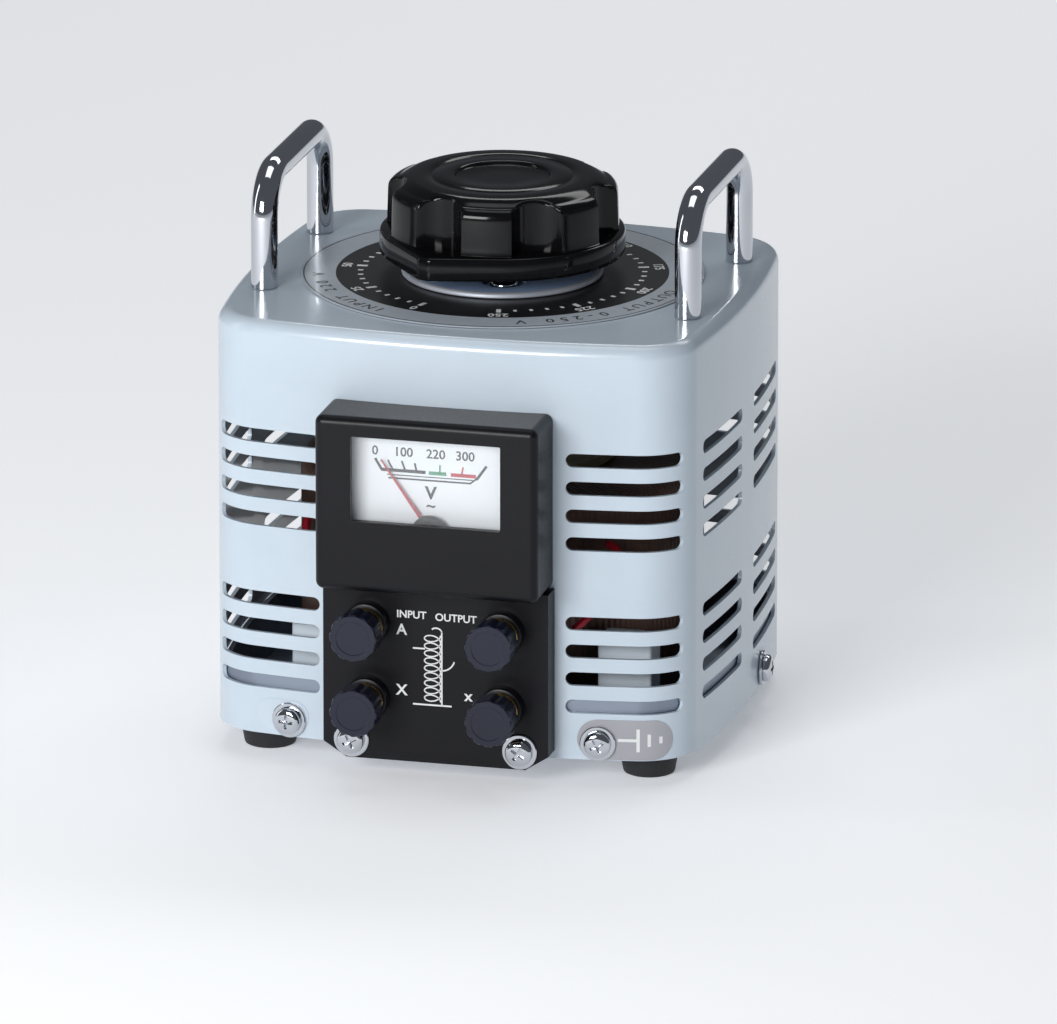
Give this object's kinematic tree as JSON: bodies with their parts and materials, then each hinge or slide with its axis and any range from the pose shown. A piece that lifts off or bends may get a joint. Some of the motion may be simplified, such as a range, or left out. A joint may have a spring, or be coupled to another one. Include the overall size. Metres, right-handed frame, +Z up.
{
  "type": "variac autotransformer",
  "caption": "Bench variac: hand-turned autotransformer in a slotted steel case with dial knob, volt meter, screw-down binding posts, carrying handles and rubber feet.",
  "frame": {"origin": "middle of the bounding box at the level the feet stand on", "axes": "+Z up along the knob's shaft, -Y out of the front with the meter and the binding posts, +X to the viewer's right when facing the front"},
  "size_m": [0.1584, 0.1628, 0.172],
  "materials": {
    "enamel": "gloss light blue-grey stove enamel on sheet steel",
    "zinc_plate": "zinc-plated steel",
    "chrome": "bright chrome plate",
    "black_bakelite": "polished black phenolic moulding",
    "black_moulding": "black moulded plastic, slight sheen",
    "rubber": "moulded black rubber",
    "dial_print": "black print on thin aluminium",
    "blue_steel": "blued rolled steel",
    "copper_wire": "varnished copper winding",
    "core_steel": "wound silicon steel strip",
    "insulation": "laminated insulating board",
    "brass": "turned brass",
    "cast_aluminium": "cast aluminium",
    "carbon": "pressed carbon",
    "clear": "clear acrylic pane",
    "card": "printed white card",
    "needle_red": "red lacquered aluminium",
    "label_film": "thin clear label film",
    "red_wire": "red PVC insulated wire"
  },
  "bodies": {
    "frame": {"case_cover": "enamel", "base_plate": "zinc_plate", "foot_front_left": "rubber", "foot_front_right": "rubber", "foot_rear_left": "rubber", "foot_rear_right": "rubber", "handle_left": "chrome", "handle_right": "chrome", "handle_nut_left_front": "zinc_plate", "handle_nut_left_rear": "zinc_plate", "handle_nut_right_front": "zinc_plate", "handle_nut_right_rear": "zinc_plate", "dial_plate": "dial_print", "hub_plate": "blue_steel", "hub_screw_1": "chrome", "hub_screw_2": "chrome", "core": "core_steel", "winding": "copper_wire", "lower_insulating_ring": "insulation", "clamp_plate": "insulation", "bearing_sleeve": "brass", "clamp_nut": "zinc_plate", "terminal_panel": "black_moulding", "meter_box": "black_bakelite", "meter_window": "clear", "scale_card": "card", "meter_movement": "black_moulding", "stud_input_a": "brass", "collar_input_a": "black_moulding", "stud_input_x": "brass", "collar_input_x": "black_moulding", "stud_output_a": "brass", "collar_output_a": "black_moulding", "stud_output_x": "brass", "collar_output_x": "black_moulding", "panel_screw_left": "chrome", "panel_screw_right": "chrome", "case_screw_left": "chrome", "earth_screw": "chrome", "case_screw_side_left": "chrome", "case_screw_side_right": "chrome", "earth_label": "label_film", "input_lead": "red_wire", "output_lead": "red_wire"},
    "rotor": {"knob": "black_bakelite", "grub_screw": "zinc_plate", "shaft": "zinc_plate", "brush_arm": "cast_aluminium", "brush_holder": "brass", "brush_spring": "brass"},
    "brush": {"carbon_brush": "carbon"},
    "needle": {"needle": "needle_red"},
    "clamp_input_a": {"washer_input_a": "brass"},
    "cap_input_a": {"cap_input_a": "black_moulding"},
    "clamp_input_x": {"washer_input_x": "brass"},
    "cap_input_x": {"cap_input_x": "black_moulding"},
    "clamp_output_a": {"washer_output_a": "brass"},
    "cap_output_a": {"cap_output_a": "black_moulding"},
    "clamp_output_x": {"washer_output_x": "brass"},
    "cap_output_x": {"cap_output_x": "black_moulding"}
  },
  "joints": [
    {"name": "knob_turn", "type": "hinge", "parent": "frame", "child": "rotor", "pos_m": [0, 0.0149, 0.13], "axis": [0, 0, 1], "range_deg": [-327.5, 0]},
    {"name": "brush_slide", "type": "slide", "parent": "rotor", "child": "brush", "axis": [0, 0, 1], "range_m": [0, 0.002], "stiffness_N_per_m": 300, "springref_m": -0.003, "deforming": ["brush_spring"]},
    {"name": "needle_swing", "type": "hinge", "parent": "frame", "child": "needle", "pos_m": [0, -0.0691, 0.0786], "axis": [0, 1, 0], "range_deg": [0, 71], "stiffness_Nm_per_rad": 0.00002},
    {"name": "travel_input_a", "type": "slide", "parent": "frame", "child": "clamp_input_a", "axis": [0, -1, 0], "range_m": [0, 0.00481]},
    {"name": "unscrew_input_a", "type": "hinge", "parent": "clamp_input_a", "child": "cap_input_a", "pos_m": [-0.0205, -0.0751, 0.048], "axis": [0, -1, 0], "range_deg": [0, 2160]},
    {"name": "travel_input_x", "type": "slide", "parent": "frame", "child": "clamp_input_x", "axis": [0, -1, 0], "range_m": [0, 0.00481]},
    {"name": "unscrew_input_x", "type": "hinge", "parent": "clamp_input_x", "child": "cap_input_x", "pos_m": [-0.0205, -0.0751, 0.025], "axis": [0, -1, 0], "range_deg": [0, 2160]},
    {"name": "travel_output_a", "type": "slide", "parent": "frame", "child": "clamp_output_a", "axis": [0, -1, 0], "range_m": [0, 0.00481]},
    {"name": "unscrew_output_a", "type": "hinge", "parent": "clamp_output_a", "child": "cap_output_a", "pos_m": [0.0205, -0.0751, 0.048], "axis": [0, -1, 0], "range_deg": [0, 2160]},
    {"name": "travel_output_x", "type": "slide", "parent": "frame", "child": "clamp_output_x", "axis": [0, -1, 0], "range_m": [0, 0.00481]},
    {"name": "unscrew_output_x", "type": "hinge", "parent": "clamp_output_x", "child": "cap_output_x", "pos_m": [0.0205, -0.0751, 0.025], "axis": [0, -1, 0], "range_deg": [0, 2160]}
  ],
  "couplings": [
    {"joint": "travel_input_a", "follows": "unscrew_input_a", "m_per_rad": 0.00012732},
    {"joint": "travel_input_x", "follows": "unscrew_input_x", "m_per_rad": 0.00012732},
    {"joint": "travel_output_a", "follows": "unscrew_output_a", "m_per_rad": 0.00012732},
    {"joint": "travel_output_x", "follows": "unscrew_output_x", "m_per_rad": 0.00012732}
  ]
}
